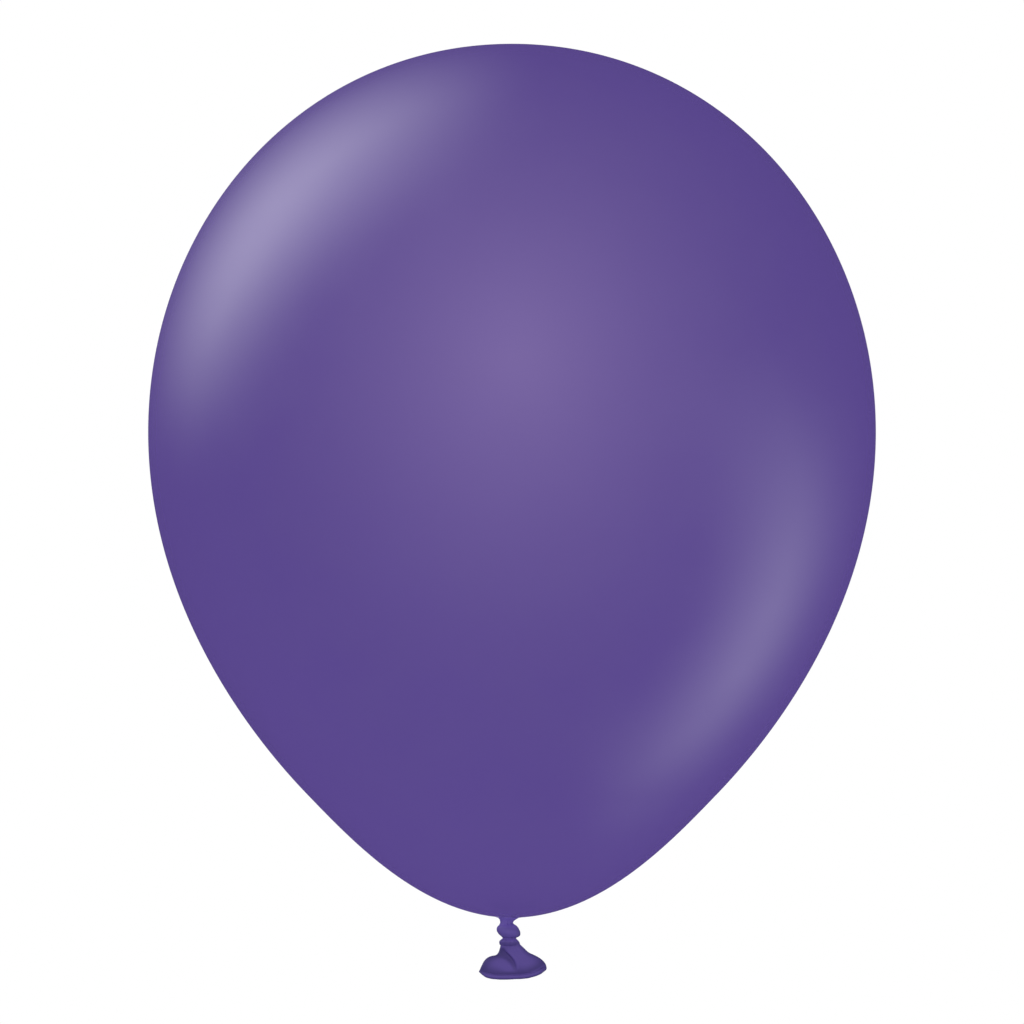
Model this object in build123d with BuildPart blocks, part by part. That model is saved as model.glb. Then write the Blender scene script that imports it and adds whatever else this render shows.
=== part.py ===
from build123d import *
from math import cos, radians, sin
import os

# A knotted 12 in latex balloon, inflated to 300 mm across. The origin is the middle of the pinched
# neck, where a ribbon is tied. +Z runs up through the bladder, and the tail is spread along X.

# Driving dimensions, in millimetres
film_wall = 0.3  # solid stand-in for the stretched film, which is really near 0.012
tail_wall = 0.8  # stand-in for the slack latex of the tail
bladder_radius = 150.0
crown_z = 362.3
belly_z = 202.3  # height of the widest ring
bottom_z = 2.1  # lowest film, where it gathers into the neck
bladder_x = 2.3  # the bladder hangs a little to one side of its neck
flank_radius = 84.7  # a point half way down the tapering flank
flank_z = 53.2
flank_slope = 46.1  # degrees above level
crown_pull = 86.9  # lengths of the curve handles along the outline
belly_pull = 74.3
flank_pull = 28.0
bottom_pull = 36.1

gather_radius = 6.2  # rim of the pleated gather under the bladder
neck_top_z = 0.6
neck_bottom_z = -0.6
waist_radius = 2.64
neck_end_radius = 2.8

loop_centre = (0.85, 0, -3.5)  # upper wrap of the knot
loop_tilt = 9.4  # degrees, right side lower
loop_radius = 2.6
loop_half_width = 2.23
loop_half_height = 2.35
tuck_centre = (1.25, 0, -8.2)  # lower wrap, with the tail pulled through it
tuck_tilt = 6.0
tuck_radius = 2.3
tuck_half_width = 1.95
tuck_half_height = 1.75
core_mid_z = -6.4  # pinch between the two wraps
core_mid_x = 1.15
core_mid_radius = 2.4
core_end_radius = 2.2

throat_top_z = -10.4
throat_x = 1.95
throat_width = 8.9
throat_depth = 4.8
skirt_sections = (  # height, middle x, width and depth of the spreading tail
    (-13.2, 3.45, 14.7, 5.4),
    (-14.4, 2.85, 20.4, 6.6),
    (-16.5, 2.70, 23.6, 8.0),
    (-19.5, 2.35, 25.8, 8.5),
    (-23.4, 2.35, 25.9, 8.5),
)

lip_x = 2.35
lip_bead_radius = 1.1
lip_half_depth = 3.9
lip_straight = 9.0  # from the middle to where the end bend starts
lip_low_z = -22.5
lip_bow = 3.2  # rise of the lip at lip_bow_reach from its middle
lip_bow_reach = 13.0
lip_lean = 0.06  # the right end stands higher


def bladder_solid(inset):
    """The filled bladder, with its surface set in from the outside of the film."""
    slope = radians(flank_slope)
    crown = (bladder_x, crown_z - inset)
    belly = (bladder_x + bladder_radius - inset, belly_z)
    flank = (
        bladder_x + flank_radius - inset * sin(slope),
        flank_z + inset * cos(slope),
    )
    bottom = (bladder_x, bottom_z + inset)
    pull = (flank_pull * cos(slope), flank_pull * sin(slope))
    with BuildPart() as solid:
        with BuildSketch(Plane.XZ):
            with BuildLine():
                Bezier(
                    crown,
                    (crown[0] + crown_pull, crown[1]),
                    (belly[0], belly[1] + crown_pull),
                    belly,
                )
                Bezier(
                    belly,
                    (belly[0], belly[1] - belly_pull),
                    (flank[0] + pull[0], flank[1] + pull[1]),
                    flank,
                )
                Bezier(
                    flank,
                    (flank[0] - pull[0], flank[1] - pull[1]),
                    (bottom[0] + bottom_pull, bottom[1]),
                    bottom,
                )
                Line(bottom, crown)
            make_face()
        revolve(axis=Axis((bladder_x, 0, 0), (0, 0, 1)))
    return solid.part


def wrap_solid(centre, tilt, ring_radius, half_width, half_height):
    """One turn of latex round the core: a fat ring that leans by tilt about Y."""
    lean = radians(tilt)
    across = (cos(lean), 0, -sin(lean))
    upward = (sin(lean), 0, cos(lean))
    with BuildPart() as ring:
        with BuildSketch(Plane(origin=centre, x_dir=across, z_dir=(0, -1, 0))):
            with Locations((ring_radius, 0)):
                Ellipse(half_width, half_height)
        revolve(axis=Axis(centre, upward))
    return ring.part


def lip_z(x):
    """Height of the lip's centre line at x."""
    reach = x - lip_x
    return lip_low_z + lip_bow * (reach / lip_bow_reach) ** 2 + lip_lean * reach


bladder_envelope = bladder_solid(0)
with BuildPart() as bladder:
    add(bladder_envelope)
    add(bladder_solid(film_wall), mode=Mode.SUBTRACT)
bladder.part.label = "bladder"

# The film draws together under the bladder in a short pleated flare
with BuildPart() as neck_gather:
    with BuildSketch(Plane.XZ):
        rim_z = bottom_z + 0.5
        with BuildLine():
            Polyline((gather_radius, rim_z), (0, rim_z), (0, neck_top_z), (neck_end_radius, neck_top_z))
            Bezier(
                (neck_end_radius, neck_top_z),
                (neck_end_radius + 0.1, bottom_z - 0.2),
                (gather_radius - 2.6, bottom_z + 0.1),
                (gather_radius, rim_z),
            )
        make_face()
    revolve(axis=Axis.Z)
    add(bladder_envelope, mode=Mode.SUBTRACT)
neck_gather.part.label = "neck_gather"

# The pinched strand between the gather and the knot
with BuildPart() as neck:
    with BuildSketch(Plane.XZ):
        with BuildLine():
            ThreePointArc(
                (neck_end_radius, neck_top_z),
                (waist_radius, (neck_top_z + neck_bottom_z) / 2),
                (neck_end_radius, neck_bottom_z),
            )
            Polyline(
                (neck_end_radius, neck_bottom_z),
                (0, neck_bottom_z),
                (0, neck_top_z),
                (neck_end_radius, neck_top_z),
            )
        make_face()
    revolve(axis=Axis.Z)
neck.part.label = "neck"

# The strand that runs down through both wraps of the knot
with BuildPart() as knot_core:
    with BuildSketch(Plane.XY.offset(neck_bottom_z)):
        Circle(neck_end_radius)
    with BuildSketch(Plane.XY.offset(core_mid_z)):
        with Locations((core_mid_x, 0)):
            Circle(core_mid_radius)
    with BuildSketch(Plane.XY.offset(throat_top_z)):
        with Locations((throat_x, 0)):
            Circle(core_end_radius)
    loft()
knot_core.part.label = "knot_core"

with BuildPart() as knot_loop:
    add(wrap_solid(loop_centre, loop_tilt, loop_radius, loop_half_width, loop_half_height))
    add(knot_core.part, mode=Mode.SUBTRACT)
knot_loop.part.label = "knot_loop"

with BuildPart() as knot_tuck:
    add(wrap_solid(tuck_centre, tuck_tilt, tuck_radius, tuck_half_width, tuck_half_height))
    add(knot_core.part, mode=Mode.SUBTRACT)
knot_tuck.part.label = "knot_tuck"

# The flattened bundle that comes out of the knot
with BuildPart() as tail_throat:
    with BuildSketch(Plane.XY.offset(throat_top_z)):
        with Locations((throat_x, 0)):
            SlotOverall(throat_width, throat_depth)
    top_z, top_x, top_width, top_depth = skirt_sections[0]
    with BuildSketch(Plane.XY.offset(top_z)):
        with Locations((top_x, 0)):
            SlotOverall(top_width, top_depth)
    loft()
tail_throat.part.label = "tail_throat"

# The bead that ends the tail: a closed loop of four arcs, bowed down in the middle
with BuildPart() as rolled_lip:
    left_x = lip_x - lip_straight
    right_x = lip_x + lip_straight
    with BuildLine() as lip_path:
        front = ThreePointArc(
            (left_x, -lip_half_depth, lip_z(left_x)),
            (lip_x, -lip_half_depth, lip_low_z),
            (right_x, -lip_half_depth, lip_z(right_x)),
        )
        back = ThreePointArc(
            (right_x, lip_half_depth, lip_z(right_x)),
            (lip_x, lip_half_depth, lip_low_z),
            (left_x, lip_half_depth, lip_z(left_x)),
        )
        right_tip = (front @ 1 + back @ 0) / 2 + (front % 1) * lip_half_depth
        left_tip = (front @ 0 + back @ 1) / 2 - (front % 0) * lip_half_depth
        ThreePointArc(front @ 1, right_tip, back @ 0)
        ThreePointArc(back @ 1, left_tip, front @ 0)
    with BuildSketch(Plane(origin=front @ 0, z_dir=front % 0)):
        Circle(lip_bead_radius)
    sweep()
rolled_lip.part.label = "rolled_lip"

# The open fan of slack latex between the throat and the lip, cut off along the lip
with BuildPart() as tail_skirt:
    for height, middle, width, depth in skirt_sections:
        with BuildSketch(Plane.XY.offset(height)):
            with Locations((middle, 0)):
                SlotOverall(width, depth)
    loft()
    for height, middle, width, depth in skirt_sections[1:]:
        with BuildSketch(Plane.XY.offset(height)):
            with Locations((middle, 0)):
                SlotOverall(width - 2 * tail_wall, depth - 2 * tail_wall)
    loft(mode=Mode.SUBTRACT)
    with BuildSketch(Plane.XZ):
        trim_left = lip_x - 1.5 * lip_bow_reach
        trim_right = lip_x + 1.5 * lip_bow_reach
        floor_z = skirt_sections[-1][0] - 1
        with BuildLine():
            ThreePointArc(
                (trim_left, lip_z(trim_left)),
                (lip_x, lip_low_z),
                (trim_right, lip_z(trim_right)),
            )
            Polyline(
                (trim_right, lip_z(trim_right)),
                (trim_right, floor_z),
                (trim_left, floor_z),
                (trim_left, lip_z(trim_left)),
            )
        make_face()
    extrude(amount=2 * lip_half_depth, both=True, mode=Mode.SUBTRACT)
    add(rolled_lip.part, mode=Mode.SUBTRACT)
tail_skirt.part.label = "tail_skirt"

os.makedirs("parts", exist_ok=True)
export_step(bladder.part, "parts/bladder.step")
export_step(neck_gather.part, "parts/neck_gather.step")
export_step(neck.part, "parts/neck.step")
export_step(knot_core.part, "parts/knot_core.step")
export_step(knot_loop.part, "parts/knot_loop.step")
export_step(knot_tuck.part, "parts/knot_tuck.step")
export_step(tail_throat.part, "parts/tail_throat.step")
export_step(tail_skirt.part, "parts/tail_skirt.step")
export_step(rolled_lip.part, "parts/rolled_lip.step")
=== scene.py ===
import math

import bpy
import numpy as np
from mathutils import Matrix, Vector


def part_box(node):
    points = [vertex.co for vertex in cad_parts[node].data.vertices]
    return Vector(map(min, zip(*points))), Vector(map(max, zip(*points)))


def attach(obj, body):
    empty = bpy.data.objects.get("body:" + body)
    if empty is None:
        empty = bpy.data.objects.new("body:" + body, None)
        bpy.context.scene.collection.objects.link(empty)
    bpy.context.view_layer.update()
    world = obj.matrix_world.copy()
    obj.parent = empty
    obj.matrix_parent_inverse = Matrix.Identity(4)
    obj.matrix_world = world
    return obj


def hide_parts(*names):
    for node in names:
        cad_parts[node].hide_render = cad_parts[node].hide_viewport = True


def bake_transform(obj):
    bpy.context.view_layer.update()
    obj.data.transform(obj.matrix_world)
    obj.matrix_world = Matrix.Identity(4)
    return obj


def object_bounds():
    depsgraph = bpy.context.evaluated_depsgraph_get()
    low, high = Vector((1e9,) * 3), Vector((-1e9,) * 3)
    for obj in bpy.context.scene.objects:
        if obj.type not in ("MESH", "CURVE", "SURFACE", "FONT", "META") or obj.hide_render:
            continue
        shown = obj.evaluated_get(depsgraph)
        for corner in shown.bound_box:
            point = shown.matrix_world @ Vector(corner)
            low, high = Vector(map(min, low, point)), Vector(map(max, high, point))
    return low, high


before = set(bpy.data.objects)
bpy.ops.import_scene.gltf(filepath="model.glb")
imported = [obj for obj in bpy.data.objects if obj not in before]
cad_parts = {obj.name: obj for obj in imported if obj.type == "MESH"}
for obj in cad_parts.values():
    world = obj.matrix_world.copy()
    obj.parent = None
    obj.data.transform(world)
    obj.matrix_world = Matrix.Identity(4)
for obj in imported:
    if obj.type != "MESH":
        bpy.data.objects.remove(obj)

cad_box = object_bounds()

# ---------------------------------------------------------------- the frame, in millimetres from the waist

bladder_low, bladder_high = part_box("bladder")
neck_low, neck_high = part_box("neck")
MM = (bladder_high.x - bladder_low.x) / 300  # one millimetre of the real balloon
WAIST = (neck_low + neck_high) / 2  # middle of the pinched neck

AXIS_X = ((bladder_low.x + bladder_high.x) / 2 - WAIST.x) / MM
RADIUS = 150.0
CROWN_Z = (bladder_high.z - WAIST.z) / MM
BOTTOM_Z = (bladder_low.z - WAIST.z) / MM
HEIGHT = CROWN_Z - BOTTOM_Z
BELLY_Z = BOTTOM_Z + 0.5558 * HEIGHT
FLANK = (84.7, BOTTOM_Z + 0.1419 * HEIGHT)
FLANK_SLOPE = math.radians(46.1)
CROWN_PULL = 86.9
BELLY_PULL = 74.3
FLANK_PULL = 28.0
BOTTOM_PULL = 36.1

COLUMNS = 256
RNG = np.random.default_rng(12)


# ---------------------------------------------------------------- curves and meshes


def bezier(a, b, c, d, rows):
    """Points along a cubic, ends included."""
    t = np.linspace(0, 1, rows)[:, None]
    a, b, c, d = (np.array(p, float) for p in (a, b, c, d))
    return (1 - t) ** 3 * a + 3 * (1 - t) ** 2 * t * b + 3 * (1 - t) * t**2 * c + t**3 * d


def through(stations, rows):
    """A smooth run of rows values through the stations, which are rows of numbers."""
    table = np.array(stations, float)
    ends = np.vstack([2 * table[0] - table[1], table, 2 * table[-1] - table[-2]])
    at = np.linspace(0, len(table) - 1, rows)
    first = np.minimum(at.astype(int), len(table) - 2)
    f = (at - first)[:, None]
    a, b, c, d = ends[first], ends[first + 1], ends[first + 2], ends[first + 3]
    return 0.5 * (
        2 * b
        + (c - a) * f
        + (2 * a - 5 * b + 4 * c - d) * f**2
        + (3 * b - a - 3 * c + d) * f**3
    )


def smooth_step(t):
    t = np.clip(t, 0, 1)
    return t * t * (3 - 2 * t)


def hump(t):
    """1 at the middle, falling softly to 0 at -1 and 1."""
    return np.clip(1 - np.square(t), 0, 1) ** 2


def angles(columns=COLUMNS):
    """Angles round a loop: 0 is +X, a quarter turn is the back and three quarters the front."""
    return np.linspace(0, 2 * math.pi, columns, endpoint=False)


def round_power(value, power):
    return np.sign(value) * np.abs(value) ** (2 / power)


def tube(stations, rows, squareness=2.0, columns=COLUMNS, inset=0.0):
    """Loops between a left and a right edge: stations hold left x, left z, right x, right z, half depth,
    and, where the loops bow, the height of their middle. inset draws every loop in."""
    s = through(stations, rows)
    a = angles(columns)
    across = round_power(np.cos(a), squareness)
    deep = round_power(np.sin(a), squareness)
    left_x, left_z, right_x, right_z, depth = (s[:, k : k + 1] for k in range(5))
    middle_z = s[:, 5:6] if s.shape[1] > 5 else (left_z + right_z) / 2
    x = (left_x + right_x) / 2 + across * ((right_x - left_x) / 2 - inset)
    y = (depth - inset) * deep
    z = middle_z + across * (right_z - left_z) / 2
    z = z + across**2 * ((left_z + right_z) / 2 - middle_z)
    return np.stack([x, y, z], axis=-1)


def push(grid, amount):
    """Moves a grid's points level and outwards from the middle of their loop, by amount in millimetres."""
    away = grid - grid.mean(axis=1, keepdims=True)
    away[..., 2] = 0
    away /= np.maximum(np.linalg.norm(away, axis=-1, keepdims=True), 1e-9)
    return grid + away * amount[..., None]


def grid_mesh(name, grid, shade, closed_rows=False):
    """An object from loops of points in millimetres from the waist. Its two ends are capped, or joined
    where closed_rows. shade is a number for each point, kept as an attribute for the materials."""
    rows, columns = grid.shape[:2]
    points = grid.reshape(-1, 3)
    index = np.arange(rows * columns).reshape(rows, columns)
    below = index if closed_rows else index[:-1]
    above = np.roll(index, -1, axis=0) if closed_rows else index[1:]
    quads = np.stack(
        [below, np.roll(below, -1, axis=1), np.roll(above, -1, axis=1), above], axis=-1
    )
    faces = quads.reshape(-1, 4).tolist()
    if not closed_rows:
        first, last = rows * columns, rows * columns + 1
        points = np.vstack([points, grid[0].mean(axis=0), grid[-1].mean(axis=0)])
        for k in range(columns):
            after = (k + 1) % columns
            faces.append([first, int(index[0, after]), int(index[0, k])])
            faces.append([last, int(index[-1, k]), int(index[-1, after])])
    mesh = bpy.data.meshes.new(name)
    mesh.from_pydata((points * MM + np.array(WAIST)).tolist(), [], faces)
    mesh.polygons.foreach_set("use_smooth", [True] * len(mesh.polygons))
    if not closed_rows:
        rim = np.zeros(len(points), bool)
        rim[index[[0, -1]]] = True
        ends = np.zeros(len(mesh.edges) * 2, int)
        mesh.edges.foreach_get("vertices", ends)
        sharp = rim[ends].reshape(-1, 2).all(axis=1)
        mesh.attributes.new("sharp_edge", "BOOLEAN", "EDGE").data.foreach_set("value", sharp)
    held = np.zeros(len(points), np.float32)
    held[: rows * columns] = np.broadcast_to(shade, (rows, columns)).ravel()
    if not closed_rows:
        held[-2:] = held[0], held[rows * columns - 1]
    mesh.attributes.new("shade", "FLOAT", "POINT").data.foreach_set("value", held)
    mesh.validate()
    mesh.update()
    piece = bpy.data.objects.new(name, mesh)
    bpy.context.collection.objects.link(piece)
    return piece


def outwards(grid, shade):
    """The loops, and their shade, in the order that makes the faces look outwards."""
    shade = np.broadcast_to(shade, grid.shape[:2])
    from_middle = grid - grid.reshape(-1, 3).mean(axis=0)
    here, beside, above = from_middle[:-1], np.roll(from_middle, -1, axis=1)[:-1], from_middle[1:]
    volume = np.einsum("ijk,ijk->", here, np.cross(beside, above))
    return (grid, shade) if volume > 0 else (grid[::-1], shade[::-1])


# ---------------------------------------------------------------- the pleats that run into the neck

# How dark the plain latex of the neck, the knot and the tail is drawn, on the scale of the shade attribute:
# partly the deeper colour of slack latex, partly painted light, as the neck is drawn lighter against the
# shade under the balloon
NECK_SHADE = 0.28
KNOT_SHADE = 0.50
SLACK_SHADE = 0.60

PLEATS = [(n, RNG.uniform(0, 2 * math.pi), w) for n, w in ((7, 0.35), (11, 0.4), (17, 0.3), (26, 0.16))]


def pleats(angle):
    """Uneven folds round the neck: narrow valleys between broad ridges, from about -1 to 0.4."""
    wave = sum(w * np.cos(n * angle + phase) for n, phase, w in PLEATS)
    return np.where(wave > 0, 0.4 * wave, wave)


# ---------------------------------------------------------------- edges of the gather, neck and knot

# left x, left z, right x, right z, half depth
GATHER = (
    (-4.40, 2.17, 6.10, 2.14, 5.20),
    (-3.58, 2.02, 5.15, 1.98, 4.36),
    (-3.06, 1.62, 4.38, 1.60, 3.66),
)
NECK = (
    (-3.06, 1.62, 4.38, 1.60, 3.66),
    (-2.78, 1.14, 3.62, 1.14, 3.12),
    (-2.66, 0.76, 3.08, 0.72, 2.86),
    (-2.60, 0.40, 2.82, 0.36, 2.70),
    (-2.61, 0.00, 2.67, 0.00, 2.62),
)
NECK_FOOT = (
    (-2.61, 0.00, 2.67, 0.00, 2.62),
    (-2.74, -0.38, 2.80, -0.36, 2.68),
    (-3.00, -0.86, 3.42, -0.80, 2.95),
    (-3.44, -1.30, 4.15, -1.27, 3.45),
    (-3.84, -1.76, 4.80, -1.95, 3.95),
)
KNOT_LOOP = (
    (-3.84, -1.76, 4.80, -1.95, 3.95),
    (-4.04, -2.35, 5.26, -2.70, 4.35),
    (-4.05, -3.00, 5.60, -3.45, 4.65),
    (-3.88, -3.75, 5.76, -4.18, 4.75),
    (-3.38, -4.48, 5.76, -4.75, 4.60),
    (-2.72, -5.16, 5.58, -5.28, 4.25),
    (-2.14, -5.70, 5.14, -5.74, 3.75),
    (-1.78, -6.08, 4.50, -6.06, 3.20),
    (-1.50, -6.34, 3.85, -6.30, 2.70),
    (-0.95, -6.48, 3.10, -6.44, 2.05),
    (0.20, -6.50, 2.20, -6.46, 1.00),
)
KNOT_TUCK = (
    (-1.20, -5.80, 3.70, -5.75, 2.60),
    (-1.50, -6.20, 3.92, -6.15, 2.78),
    (-1.74, -6.60, 4.10, -6.58, 2.98),
    (-2.28, -7.02, 4.52, -7.04, 3.40),
    (-2.76, -7.44, 4.92, -7.46, 3.74),
    (-2.95, -7.95, 5.24, -7.96, 3.92),
    (-2.95, -8.45, 5.44, -8.50, 3.92),
    (-2.82, -8.92, 5.50, -9.00, 3.74),
    (-2.50, -9.32, 5.28, -9.42, 3.40),
    (-1.80, -9.58, 4.60, -9.70, 2.80),
    (0.00, -9.64, 3.00, -9.76, 1.50),
)


def bladder_outline():
    """Distance from the bladder's axis and height, from the crown down to the bottom."""
    crown = (0, CROWN_Z)
    belly = (RADIUS, BELLY_Z)
    bottom = (0, BOTTOM_Z)
    pull = FLANK_PULL * math.cos(FLANK_SLOPE), FLANK_PULL * math.sin(FLANK_SLOPE)
    upper = bezier(
        crown, (CROWN_PULL, CROWN_Z), (RADIUS, BELLY_Z + CROWN_PULL), belly, 120
    )
    middle = bezier(
        belly, (RADIUS, BELLY_Z - BELLY_PULL), (FLANK[0] + pull[0], FLANK[1] + pull[1]), FLANK, 90
    )
    lower = bezier(
        FLANK, (FLANK[0] - pull[0], FLANK[1] - pull[1]), (BOTTOM_PULL, BOTTOM_Z), bottom, 90
    )
    return np.vstack([upper[:-1], middle[:-1], lower])


CAP_RADIUS = 0.6  # the crown inside this radius is one small cap
FAN_RADIUS = 18  # under the balloon, the level rings end here and the fan to the neck begins
FAN_ROWS = 40
PLEAT_DEPTH = 0.2
PLEAT_RIM = 5.5  # from the neck's middle; the pleats in the film fade from here
PLEAT_FADE = 9
PLEAT_END = 40
NECK_LIGHTER_REACH = 16  # how far the film is drawn lighter round the neck, painted light where its underside gets less light, and round the crown
CROWN_LIGHTER_REACH = 11


def make_bladder():
    """The stretched film. Its loops are level rings, and the lowest ones drift over to the neck's place."""
    outline = bladder_outline()
    out, up = outline[:, 0], outline[:, 1]
    turn = angles()
    rings = outline[(out > CAP_RADIUS) & ((out > FAN_RADIUS) | (up > BELLY_Z))]
    ring_x = AXIS_X + rings[:, :1] * np.cos(turn)
    ring_y = rings[:, :1] * np.sin(turn)
    ring_z = np.repeat(rings[:, 1:], len(turn), axis=1)
    body = np.stack([ring_x, ring_y, ring_z], axis=-1)

    rim = tube(GATHER, 2)[0]
    last = body[-1]
    steps = np.linspace(0, 1, FAN_ROWS)[1:, None, None]
    steps = 1 - (1 - steps) ** 1.5
    fan = last + (rim - last) * steps
    lower = up < BELLY_Z
    reach = np.hypot(fan[..., 0] - AXIS_X, fan[..., 1])
    fan[..., 2] = np.interp(reach, out[lower][::-1], up[lower][::-1])
    grid = np.concatenate([body, fan])

    from_neck = np.hypot(grid[..., 0] - rim[:, 0].mean(), grid[..., 1])
    low = grid[..., 2] < BELLY_Z
    near = np.where(low, np.exp(-np.clip(from_neck - PLEAT_RIM, 0, None) / PLEAT_FADE), 0)
    near = near * smooth_step((PLEAT_END - from_neck) / 20)
    grid[..., 2] -= PLEAT_DEPTH * near * pleats(turn)[None, :]
    # Painted light: the film is drawn a little lighter round the neck, where its underside gets less light,
    # and a little lighter round the crown.
    painted_shading = np.exp(-np.square(from_neck / np.where(low, NECK_LIGHTER_REACH, CROWN_LIGHTER_REACH)))
    return grid_mesh("bladder_film", *outwards(grid, painted_shading))


def strand_shade(up):
    """Painted light: the neck is drawn lightest under the knot's shoulder, where least light falls, and the
    knot is denser.
    """
    plain = NECK_SHADE * (1 - 0.5 * smooth_step(-up / 0.9))
    return plain + (KNOT_SHADE - 0.5 * NECK_SHADE) * smooth_step((-0.8 - up) / 1.8)


def stalk_piece(name, stations, rows, depth_of_pleats, shade=None, columns=COLUMNS):
    """A pleated length of the gather, neck or knot."""
    grid = tube(stations, rows, columns=columns)
    if shade is None:
        shade = strand_shade(grid[..., 2])
    depth = through([[d] for d in depth_of_pleats], rows)
    grid = push(grid, depth * pleats(angles(columns))[None, :])
    return grid_mesh(name, *outwards(grid, shade))


def make_gather():
    # Painted light: the gather is drawn lightest where it meets the film, against the shade there,
    # darkening to the neck's level.
    shade = np.interp(np.linspace(0, 1, 24), (0, 1), (0.10, NECK_SHADE))[:, None]
    return stalk_piece("neck_gather_pleats", GATHER, 24, (0.02, 0.1, 0.16), shade)


def make_neck():
    return stalk_piece("neck_strand", NECK, 40, (0.16, 0.2, 0.22, 0.22, 0.2))


def make_neck_foot():
    return stalk_piece("neck_foot", NECK_FOOT, 40, (0.2, 0.19, 0.14, 0.1, 0.06))


def make_knot_core():
    """The twisted strand inside the knot, seen only in the gap between the wraps."""
    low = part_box("knot_core")[0]
    bottom = (low.z - WAIST.z) / MM
    stations = (
        (-1.3, -2.2, 2.1, -2.2, 1.7),
        (-0.5, -6.4, 3.1, -6.4, 1.9),
        (0.2, bottom, 3.7, bottom, 1.7),
    )
    return stalk_piece("knot_core_strand", stations, 60, (0.2, 0.3, 0.2), shade=0.6, columns=96)


def make_knot_loop():
    """The upper wrap. A shallow valley winds round its back, where the latex doubles over itself."""
    rows = 100
    grid = tube(KNOT_LOOP, rows)
    turn = angles()[None, :]
    down = np.linspace(0, 1, rows)[:, None]
    pleat = 0.06 * pleats(turn) * smooth_step((0.15 - down) / 0.15)
    at_back = smooth_step((np.sin(turn) + 0.2) / 0.5)
    valley = np.exp(-np.square((grid[..., 2] + 3.6 + 1.1 * np.cos(turn - 2.2)) / 0.4)) * at_back
    creases = 0.035 * np.cos(9 * turn + 2.2 * grid[..., 2]) * hump((down - 0.5) / 0.5)
    across, up = grid[..., 0], grid[..., 2]
    # Painted shade: the loop is drawn darker towards its bottom, along its sides, most on the right, and in
    # the valley round its back.
    plain = strand_shade(up) + 0.05 * smooth_step((-3.4 - up) / 1.4)
    middle = (across.max(axis=1) + across.min(axis=1))[:, None] / 2
    inwards = np.ptp(across, axis=1)[:, None] / 2 - np.abs(across - middle)
    side = np.where(across > middle, 0.3, 0.14) * np.exp(-np.square(inwards / 1.3))
    side = side * smooth_step((-2.2 - up) / 1.5)
    shade = np.clip(plain + side + 0.25 * valley, 0, 1)
    grid = push(grid, pleat - 0.45 * valley + creases)
    return grid_mesh("knot_loop_wrap", *outwards(grid, shade))


def make_knot_tuck():
    """The lower wrap, a flatter band with stretch lines that lean the way it was pulled."""
    rows = 80
    grid = tube(KNOT_TUCK, rows)
    turn = angles()[None, :]
    down = np.linspace(0, 1, rows)[:, None]
    lines = 0.06 * np.cos(13 * turn + 1.6 * grid[..., 2] + 1.0) + 0.04 * np.cos(21 * turn - 0.8)
    across, up = grid[..., 0], grid[..., 2]
    # Painted shade and light: the tuck is drawn darker towards its bottom, where it turns under, with a
    # painted light patch right of its middle.
    shade = 0.30 + 0.25 * smooth_step((-6.7 - up) / 0.9) + 0.26 * smooth_step((-7.4 - up) / 0.9)
    shade -= 0.10 * np.exp(-np.square((up + 7.4) / 0.6) - np.square((across - 2.6) / 1.6))
    grid = push(grid, lines * hump((down - 0.5) / 0.5))
    return grid_mesh("knot_tuck_wrap", *outwards(grid, shade))


# ---------------------------------------------------------------- the tail

# left x, left z, right x, right z, half depth, middle z
TAIL = (
    (-2.35, -8.80, 5.40, -8.75, 3.05, -8.85),
    (-2.54, -9.75, 6.45, -9.75, 3.15, -9.90),
    (-2.78, -10.75, 7.50, -10.72, 3.15, -11.10),
    (-3.08, -11.70, 8.52, -11.75, 3.15, -12.30),
    (-3.52, -12.62, 9.75, -12.58, 3.20, -13.50),
    (-4.50, -13.40, 10.98, -13.12, 3.35, -14.70),
    (-6.40, -13.80, 12.38, -13.80, 3.60, -15.95),
    (-8.05, -14.52, 13.76, -14.60, 3.90, -17.20),
    (-9.32, -15.66, 15.08, -15.62, 4.05, -18.50),
    (-10.10, -16.90, 16.04, -16.74, 4.10, -19.70),
    (-10.76, -18.05, 16.46, -17.75, 4.00, -20.80),
    (-11.16, -19.20, 16.30, -18.50, 3.75, -21.80),
)
TAIL_ROWS = 190
TAIL_SQUARENESS = 2.4
THROAT_SHARE = 0.36  # of the tail's rows, from the knot down
TAIL_WALL = 0.8
INSIDE_GAP = 14  # rows from the top of the skirt's outside to the top of its inside
# Painted shade: the inside of the skirt is drawn darker.
INSIDE_SHADE = 0.7
BACK_WAVES = 5.2  # the waves across the tail's back, and how they lean on the way down
BACK_LEAN = 2.1

# x and z along the edge of the front fold, from the knot down
FOLD_LINE = (
    (-1.20, -9.60),
    (-0.30, -11.40),
    (1.45, -13.20),
    (3.00, -15.00),
    (3.92, -16.80),
    (4.18, -18.60),
    (4.25, -20.40),
)
FOLD_RISE = 0.5
VALLEY_DEPTH = 0.7
VALLEY_START = (6.8, 5.2, 4.1, 2.6, 2.0)

LIP_MIDDLE = 2.21
LIP_HALF = 13.02
LIP_DEPTH = 3.7
LIP_RADIUS = 1.1
LIP_LOW = -22.20
LIP_SQUARENESS = 2.3


def lip_height(x):
    """Height of the lip's centre line, which bows up to both ends and most to the right."""
    t = (x - LIP_MIDDLE) / LIP_HALF
    return LIP_LOW + 0.45 * t + 0.34 * t**2 + 0.24 * t**3 + 2.46 * t**4


def front_share(turn):
    """1 on the front of a loop and 0 on its back."""
    return smooth_step((-np.sin(turn) - 0.02) / 0.3)


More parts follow.
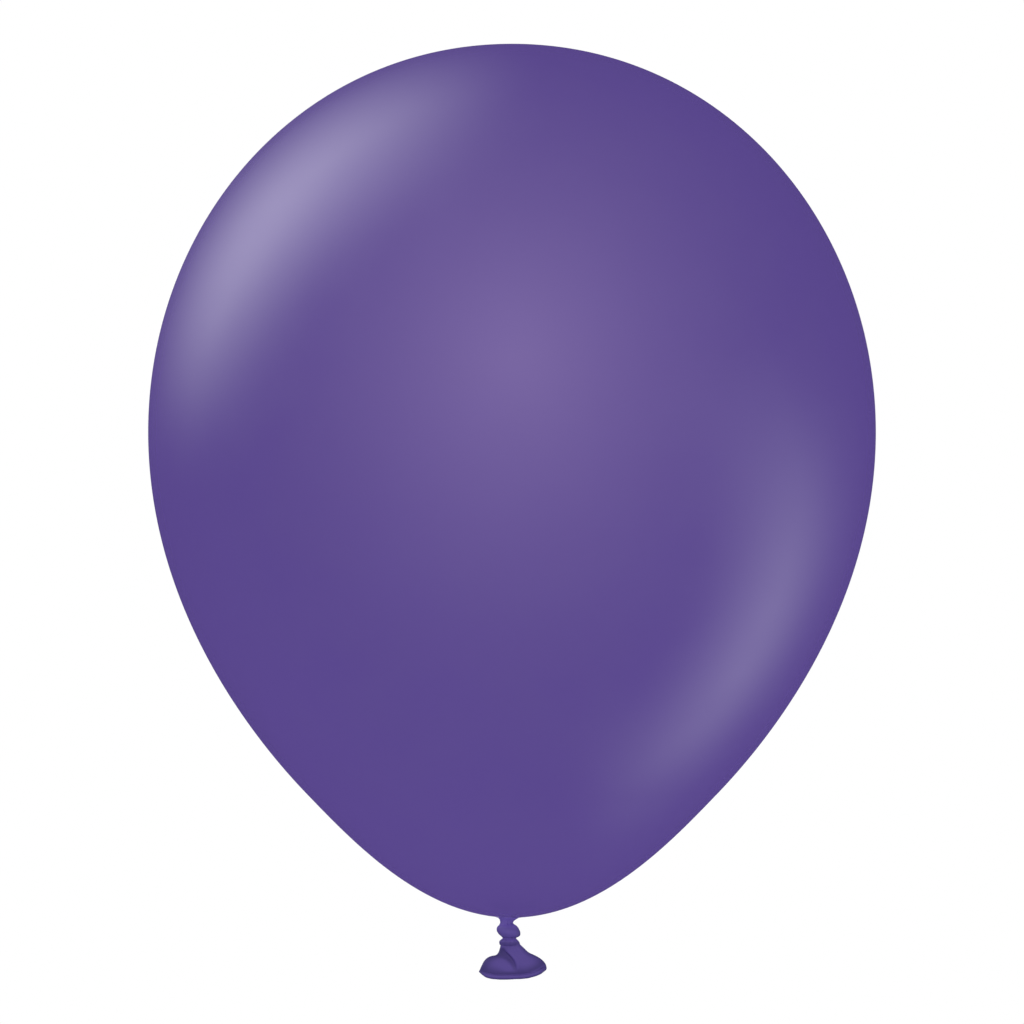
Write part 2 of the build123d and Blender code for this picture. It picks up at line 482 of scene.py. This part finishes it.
def fold_fields(grid):
    """How far each point of the tail is right of the front fold's edge, and 0 to 1 down to the lip."""
    line = through(FOLD_LINE, 60)
    edge_x = np.interp(-grid[..., 2], -line[:, 1], line[:, 0])
    down = np.interp(-grid[..., 2], (-line[0, 1], -line[-1, 1]), (0, 1))
    return grid[..., 0] - edge_x, down


def valley_start(down):
    """How far left of the fold's edge the dark valley starts."""
    return np.interp(down, (0.41, 0.49, 0.57, 0.72, 0.90), VALLEY_START)


def tail_grid(inset=0.0):
    """The tail's surface. The right side of its front folds over the left along a leaning line."""
    grid = tube(TAIL, TAIL_ROWS, squareness=TAIL_SQUARENESS, inset=inset)
    turn = angles()[None, :]
    front = front_share(turn)
    back = front_share(turn + math.pi)
    past, down = fold_fields(grid)

    fading = smooth_step(down / 0.15) * smooth_step((1.02 - down) / 0.4)
    over = smooth_step((past + 0.8) / 1.6) * np.exp(-np.clip(past, 0, None) / 5)
    valley = np.exp(-np.square(np.clip(-past - 0.9, 0, None) / (0.5 * valley_start(down))))
    valley = valley * smooth_step((0.5 - past) / 1.4)
    grid[..., 1] -= front * fading * (FOLD_RISE * over - VALLEY_DEPTH * valley)
    grid[..., 0] -= 0.3 * front * fading * over * np.exp(-np.square(past / 1.0))

    half = np.ptp(grid[..., 0], axis=1)[:, None] / 2
    fan = (grid[..., 0] - grid[..., 0].mean(axis=1, keepdims=True)) / half
    late = smooth_step((1.02 - down) / 0.7)
    grid[..., 1] += front * late * 0.05 * np.cos(13 * fan + 0.6)
    folds = 0.45 * np.cos(BACK_WAVES * fan + BACK_LEAN * down) + 0.22 * np.cos(10.5 * fan + 1.0)
    grid[..., 1] += back * late * folds

    end = grid[-1]
    seat = lip_height(np.clip(end[:, 0], LIP_MIDDLE - LIP_HALF, LIP_MIDDLE + LIP_HALF)) - end[:, 2]
    share = np.linspace(0, 1, TAIL_ROWS)[:, None]
    grid[..., 2] += seat * smooth_step((share - 0.55) / 0.45)
    return grid


def tail_shade(grid):
    """How dark each point of the tail is drawn, 0 to 1: painted shade in the valley beside the front fold,
    in the crease above the lip, under the knot, along the side edges and along the waves on the back.
    """
    turn = angles()[None, :]
    front = front_share(turn)
    past, down = fold_fields(grid)
    x, z = grid[..., 0], grid[..., 2]

    start = valley_start(down)
    valley = smooth_step((past + start) / (0.62 * start)) * smooth_step((0.5 - past) / 1.4)
    depth = np.interp(down, (0.35, 0.65), (0.62, 0.5))
    valley = depth * valley * smooth_step(down / 0.2) * smooth_step((1.1 - down) / 0.3) * front

    right_of_fold = smooth_step((past + 1.0) / 2)
    to_right = smooth_step((x - 7) / 6)
    to_left = smooth_step((1 - x) / 8)
    above = z - lip_height(x) - 1.4 - 0.6 * to_right
    softness = np.where(above > 0, 0.95 + 1.2 * right_of_fold + 1.7 * to_left, 0.6)
    crease = 0.69 * np.exp(-np.square(above / softness)) * smooth_step(down / 0.4)

    under_knot = 0.15 * np.exp(-np.square((z + 9.2) / 0.7))
    half = np.ptp(x, axis=1)[:, None] / 2
    middle = (x.max(axis=1) + x.min(axis=1))[:, None] / 2
    inwards = half - np.abs(x - middle)
    reach = np.where(x < middle, 2.3, np.interp(down, (0.1, 0.5, 0.8), (0.9, 1.5, 3.1)))
    side = np.where(x < middle, 0.8, 0.65) * np.exp(-np.square(inwards / reach))
    side = side * smooth_step(down / 0.15)
    waves = np.cos(BACK_WAVES * (x - middle) / half + BACK_LEAN * down)
    seams = 0.3 * smooth_step((waves - 0.4) / 0.6) * (1 - front)
    # Painted shade, from all of these together.
    painted_shade = 1 - (1 - valley) * (1 - crease) * (1 - under_knot) * (1 - side) * (1 - seams)
    return SLACK_SHADE + (1 - SLACK_SHADE) * np.clip(painted_shade, 0, 1)


def make_throat():
    rows = int(TAIL_ROWS * THROAT_SHARE)
    grid = tail_grid()[:rows]
    return grid_mesh("tail_throat_folds", *outwards(grid, tail_shade(grid)))


def make_skirt():
    """The open fan: an outer and an inner surface that meet in the lip."""
    rows = int(TAIL_ROWS * THROAT_SHARE)
    outside = tail_grid()[rows - 1 :]
    inside = tail_grid(TAIL_WALL)[rows + INSIDE_GAP :][::-1]
    shade = np.concatenate([tail_shade(outside), np.full(inside.shape[:2], INSIDE_SHADE)])
    return grid_mesh("tail_skirt_fan", *outwards(np.concatenate([outside, inside]), shade))


def make_lip():
    """The bead that the mouth was rolled into. A groove round it shows where the roll ends."""
    around = angles(360)
    x = LIP_MIDDLE + LIP_HALF * round_power(np.cos(around), LIP_SQUARENESS)
    y = LIP_DEPTH * round_power(np.sin(around), LIP_SQUARENESS)
    path = np.stack([x, y, lip_height(x)], axis=-1)
    along = np.roll(path, -1, axis=0) - np.roll(path, 1, axis=0)
    along /= np.linalg.norm(along, axis=1, keepdims=True)
    out = np.cross(along, [0.0, 0.0, 1.0])
    out /= np.linalg.norm(out, axis=1, keepdims=True)
    up = np.cross(out, along)

    section = angles(72)[None, :]
    left_pinch = np.exp(-np.square((LIP_MIDDLE - LIP_HALF - x) / 1.7))
    right_swell = np.exp(-np.square((LIP_MIDDLE + LIP_HALF - x) / 3.5))
    unevenness = 1 + 0.025 * np.cos(11 * around + 0.4) + 0.015 * np.cos(23 * around)
    radius = LIP_RADIUS * (1 - 0.5 * left_pinch + 0.20 * right_swell) * unevenness
    groove = np.exp(-np.square((section - 0.75 - 0.12 * np.cos(3 * around)[:, None]) / 0.14))
    r = radius[:, None] * (1 - 0.10 * groove)
    grid = (
        path[:, None, :]
        + out[:, None, :] * (r * np.cos(section))[..., None]
        + up[:, None, :] * (r * np.sin(section))[..., None]
    )
    # Painted shade: the bead is drawn darker on its underside, at both ends and in its groove.
    turned_under = smooth_step((-np.sin(section) - 0.1) / 0.7)
    right_tip = np.exp(-np.square((LIP_MIDDLE + LIP_HALF - x) / 1.8))
    tips = (left_pinch + right_tip)[:, None]
    painted_shade = np.clip(0.75 * turned_under + 0.6 * tips + 0.4 * groove, 0, 1)
    shade = SLACK_SHADE + (1 - SLACK_SHADE) * painted_shade
    return grid_mesh("rolled_lip_bead", grid[::-1], shade[::-1], closed_rows=True)


# ---------------------------------------------------------------- materials


def rgb(red, green, blue):
    """A display colour, 0 to 255, as the linear colour that a shader takes."""
    parts = [c / 255 for c in (red, green, blue)]
    return tuple(c / 12.92 if c <= 0.04045 else ((c + 0.055) / 1.055) ** 2.4 for c in parts) + (1,)


def noise(nodes, links, scale, detail=2.0):
    place = nodes.new("ShaderNodeTexCoord")
    texture = nodes.new("ShaderNodeTexNoise")
    texture.inputs["Scale"].default_value = scale
    texture.inputs["Detail"].default_value = detail
    links.new(place.outputs["Object"], texture.inputs["Vector"])
    return texture.outputs["Fac"]


def ramp(nodes, links, value, low, high, to_low, to_high):
    """value between low and high, stretched to run from to_low to to_high."""
    node = nodes.new("ShaderNodeMapRange")
    for socket, number in zip(("From Min", "From Max", "To Min", "To Max"), (low, high, to_low, to_high)):
        node.inputs[socket].default_value = number
    links.new(value, node.inputs["Value"])
    return node.outputs["Result"]


def mix_colour(nodes, links, factor, first, second):
    node = nodes.new("ShaderNodeMix")
    node.data_type = "RGBA"
    links.new(factor, node.inputs["Factor"])
    for socket, colour in ((node.inputs[6], first), (node.inputs[7], second)):
        if isinstance(colour, tuple):
            socket.default_value = colour
        else:
            links.new(colour, socket)
    return node.outputs[2]


IOR = 1.5  # of latex


def latex(name, plain, painted_shading, roughness, gloss, grain, grain_depth):
    """Dyed latex: plain where its shade attribute is 0, and the colour of its painted light and shade where
    that is 1.
    """
    material = bpy.data.materials.new(name)
    material.use_nodes = True
    nodes, links = material.node_tree.nodes, material.node_tree.links
    shader = nodes["Principled BSDF"]
    shader.inputs["IOR"].default_value = IOR
    shader.inputs["Specular IOR Level"].default_value = gloss

    # The shade attribute holds painted light and shade, mixed into the base colour.
    shade = nodes.new("ShaderNodeAttribute")
    shade.attribute_name = "shade"
    base = mix_colour(nodes, links, shade.outputs["Fac"], plain, painted_shading)
    cloud = ramp(nodes, links, noise(nodes, links, 14.0, 3.0), 0.3, 0.7, 0.0, 0.05)
    darker = tuple(c * 0.7 for c in plain[:3]) + (1,)
    base = mix_colour(nodes, links, cloud, base, darker)
    links.new(base, shader.inputs["Base Color"])

    rough = ramp(nodes, links, noise(nodes, links, 45.0, 4.0), 0.3, 0.7, roughness - 0.03, roughness + 0.03)
    links.new(rough, shader.inputs["Roughness"])

    bump = nodes.new("ShaderNodeBump")
    bump.inputs["Strength"].default_value = 1.0
    bump.inputs["Distance"].default_value = grain_depth
    links.new(noise(nodes, links, grain, 3.0), bump.inputs["Height"])
    links.new(bump.outputs["Normal"], shader.inputs["Normal"])
    return material


PURPLE = rgb(90, 72, 141)
FILM = latex(
    "stretched latex film",
    plain=rgb(88.5, 69.5, 141.5),
    # The second colour is lighter: painted light round the neck, and lighter round the crown.
    painted_shading=rgb(92, 74, 145),
    roughness=0.22,
    gloss=0.5,
    grain=900.0,
    grain_depth=0.000003,
)
SLACK = latex(
    "slack latex",
    plain=rgb(107, 87, 174),
    # The dark colour of the painted shade in creases, folds, edges and the bead's underside.
    painted_shading=rgb(49, 41, 96),
    roughness=0.45,
    gloss=0.12,
    grain=2600.0,
    grain_depth=0.000008,
)


# ---------------------------------------------------------------- the object


def finish_piece(piece, material, slot_name, *nodes):
    piece.data.materials.append(material)
    if nodes:
        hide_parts(*nodes)
    return piece


bladder = finish_piece(make_bladder(), FILM, "stretched_film", "bladder")
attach(bladder, "bladder")
bladder.visible_diffuse = False  # thin film: light comes through it to the knot below
bladder.visible_shadow = False

gather = finish_piece(make_gather(), SLACK, "gathered_latex", "neck_gather")
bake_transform(gather)

neck = finish_piece(make_neck(), SLACK, "gathered_latex", "neck")
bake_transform(neck)

foot = finish_piece(make_neck_foot(), SLACK, "gathered_latex")
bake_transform(foot)

core = finish_piece(make_knot_core(), SLACK, "knotted_latex", "knot_core")
loop = finish_piece(make_knot_loop(), SLACK, "knotted_latex", "knot_loop")
tuck = finish_piece(make_knot_tuck(), SLACK, "knotted_latex", "knot_tuck")
for piece in (core, loop, tuck):
    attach(piece, "knot")

throat = finish_piece(make_throat(), SLACK, "slack_latex", "tail_throat")
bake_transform(throat)

skirt = finish_piece(make_skirt(), SLACK, "slack_latex", "tail_skirt")
lip = finish_piece(make_lip(), SLACK, "lip_bead", "rolled_lip")
for piece in (skirt, lip):
    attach(piece, "tail")


# ---------------------------------------------------------------- studio

CENTRE = (cad_box[0] + cad_box[1]) / 2
TENT_RADIUS = 1.5
FLOOR_DROP = 1.6
FRAME_WIDTH = 422.3 * MM  # what the camera sees at the object's middle
LENS = 400.0
SENSOR = 36.0
FRONT_LEVEL = 0.0892
FRONT_RIGHT = 0.008  # where the soft front bank is mirrored, in shares of the balloon's radius
FRONT_ABOVE = 0.183
FRONT_REACH = 0.83
FRONT_TINT = np.array([1.12, 0.92, 1.01])


def mirror_share(off_axis):
    """Share of light that latex mirrors when the light comes from off_axis radians away from the eye."""
    slant = np.cos(off_axis / 2)
    inside = np.sqrt(1 - (1 - slant**2) / IOR**2)
    level = (slant - IOR * inside) / (slant + IOR * inside)
    upright = (IOR * slant - inside) / (IOR * slant + inside)
    return (level**2 + upright**2) / 2


def front_glow(off_axis, roll):
    """A soft round bank in front and a little above, dimmed to the sides, where latex mirrors more."""
    across = np.sin(off_axis / 2) * np.cos(roll) - FRONT_RIGHT
    above = np.sin(off_axis / 2) * np.sin(roll) - FRONT_ABOVE
    falloff = np.clip(1 - np.hypot(across, above) / FRONT_REACH, 0, 1) ** 1.8
    return FRONT_LEVEL * falloff / mirror_share(off_axis)


def crescent(off_axis, roll, strength, peak, inner, outer, middle, before, after, bend, tilt, curl, taper):
    """A long bank bent round the balloon, in degrees: brightest peak away from the front, fading over
    inner and outer, and from middle round to before and after. bend, tilt and curl move its two ends
    out, and taper makes the bank wider from its first end to its last."""
    turned = (np.degrees(roll) - middle + 180) % 360 - 180
    t = np.clip(turned / 60, -1, 1)
    off = (np.degrees(off_axis) - peak - tilt * t - bend * t**2 - curl * t**3) / (1 + taper * t)
    across = np.where(off < 0, hump(off / inner), np.exp(-(np.abs(off / outer) ** 1.5)))
    along = np.where(turned < 0, hump(turned / before), hump(turned / after))
    return strength * across * along


# The long banks, upper left and lower right, which give the balloon its two bent highlights
UPPER_BANK = {
    "strength": 3.26,
    "peak": 107.2,
    "inner": 42.8,
    "outer": 20.0,
    "middle": 140.5,
    "before": 55.7,
    "after": 44.9,
    "bend": 6.7,
    "tilt": 8.8,
    "curl": -11.4,
    "taper": -0.11,
}
LOWER_BANK = {
    "strength": 1.51,
    "peak": 104.9,
    "inner": 37.3,
    "outer": 14.6,
    "middle": -30.1,
    "before": 48.0,
    "after": 52.5,
    "bend": -44.0,
    "tilt": -7.3,
    "curl": 13.3,
    "taper": 0.68,
}


def make_tent():
    """A light tent round the balloon, which shows only in its gloss. Between its banks it is as dark as
    the latex itself, so the edge of the film stays plain."""
    off_axis = np.radians(np.linspace(0.5, 179.5, 90))[:, None]
    roll = np.linspace(-math.pi, math.pi, 121)[None, :]
    outwards_x = np.sin(off_axis) * np.cos(roll)
    outwards_z = np.sin(off_axis) * np.sin(roll)
    outwards_y = -np.cos(off_axis) * np.ones_like(roll)
    direction = np.stack([outwards_x, outwards_y, outwards_z], axis=-1)
    points = np.array(CENTRE) + TENT_RADIUS * direction.reshape(-1, 3)
    index = np.arange(len(points)).reshape(direction.shape[:2])
    quads = np.stack([index[:-1, :-1], index[:-1, 1:], index[1:, 1:], index[1:, :-1]], axis=-1)
    mesh = bpy.data.meshes.new("light_tent")
    mesh.from_pydata(points.tolist(), [], quads.reshape(-1, 4).tolist())

    white = crescent(off_axis, roll, **UPPER_BANK) + crescent(off_axis, roll, **LOWER_BANK)
    glow = np.ones(direction.shape[:2] + (4,))
    glow[..., :3] = PURPLE[:3] + white[..., None] + front_glow(off_axis, roll)[..., None] * FRONT_TINT
    mesh.attributes.new("glow", "FLOAT_COLOR", "POINT").data.foreach_set("color", glow.ravel())

    material = bpy.data.materials.new("tent light")
    material.use_nodes = True
    nodes, links = material.node_tree.nodes, material.node_tree.links
    nodes.remove(nodes["Principled BSDF"])
    emission = nodes.new("ShaderNodeEmission")
    colour = nodes.new("ShaderNodeAttribute")
    colour.attribute_name = "glow"
    links.new(colour.outputs["Color"], emission.inputs["Color"])
    links.new(emission.outputs["Emission"], nodes["Material Output"].inputs["Surface"])
    mesh.materials.append(material)

    tent = bpy.data.objects.new("light_tent", mesh)
    bpy.context.collection.objects.link(tent)
    tent.visible_camera = False
    tent.visible_diffuse = False
    tent.visible_transmission = False
    tent.visible_volume_scatter = False
    tent.visible_shadow = False


def make_world():
    """Even white light from all round."""
    world = bpy.data.worlds.new("white studio")
    bpy.context.scene.world = world
    world.use_nodes = True
    white = world.node_tree.nodes["Background"]
    white.inputs["Color"].default_value = (1, 1, 1, 1)
    world.cycles_visibility.glossy = False  # gloss shows the tent instead


def make_floor():
    """A plain pale floor well below the balloon. From underneath it is clear, so the tail's mouth shows."""
    bpy.ops.mesh.primitive_circle_add(
        vertices=96, radius=14, fill_type="NGON", location=(CENTRE.x, CENTRE.y, cad_box[0].z - FLOOR_DROP)
    )
    floor = bpy.context.object
    floor.name = "floor"
    material = bpy.data.materials.new("pale floor")
    material.use_nodes = True
    nodes, links = material.node_tree.nodes, material.node_tree.links
    shader = nodes["Principled BSDF"]
    shader.inputs["Base Color"].default_value = (0.93, 0.93, 0.94, 1)
    shader.inputs["Roughness"].default_value = 0.9
    shader.inputs["Emission Color"].default_value = (1, 1, 1, 1)
    shader.inputs["Emission Strength"].default_value = 0.12
    clear = nodes.new("ShaderNodeBsdfTransparent")
    side = nodes.new("ShaderNodeNewGeometry")
    mix = nodes.new("ShaderNodeMixShader")
    links.new(side.outputs["Backfacing"], mix.inputs["Fac"])
    links.new(shader.outputs["BSDF"], mix.inputs[1])
    links.new(clear.outputs["BSDF"], mix.inputs[2])
    links.new(mix.outputs["Shader"], nodes["Material Output"].inputs["Surface"])
    floor.data.materials.append(material)
    floor.visible_glossy = False


def make_camera():
    data = bpy.data.cameras.new("camera")
    data.lens = LENS
    data.sensor_width = SENSOR
    camera = bpy.data.objects.new("camera", data)
    bpy.context.collection.objects.link(camera)
    distance = FRAME_WIDTH * LENS / SENSOR
    camera.location = CENTRE + Vector((0, -distance, 0))
    camera.rotation_euler = (math.radians(90), 0, 0)
    bpy.context.scene.camera = camera


make_world()
make_floor()
make_camera()
make_tent()
bpy.context.scene.view_settings.view_transform = "Standard"
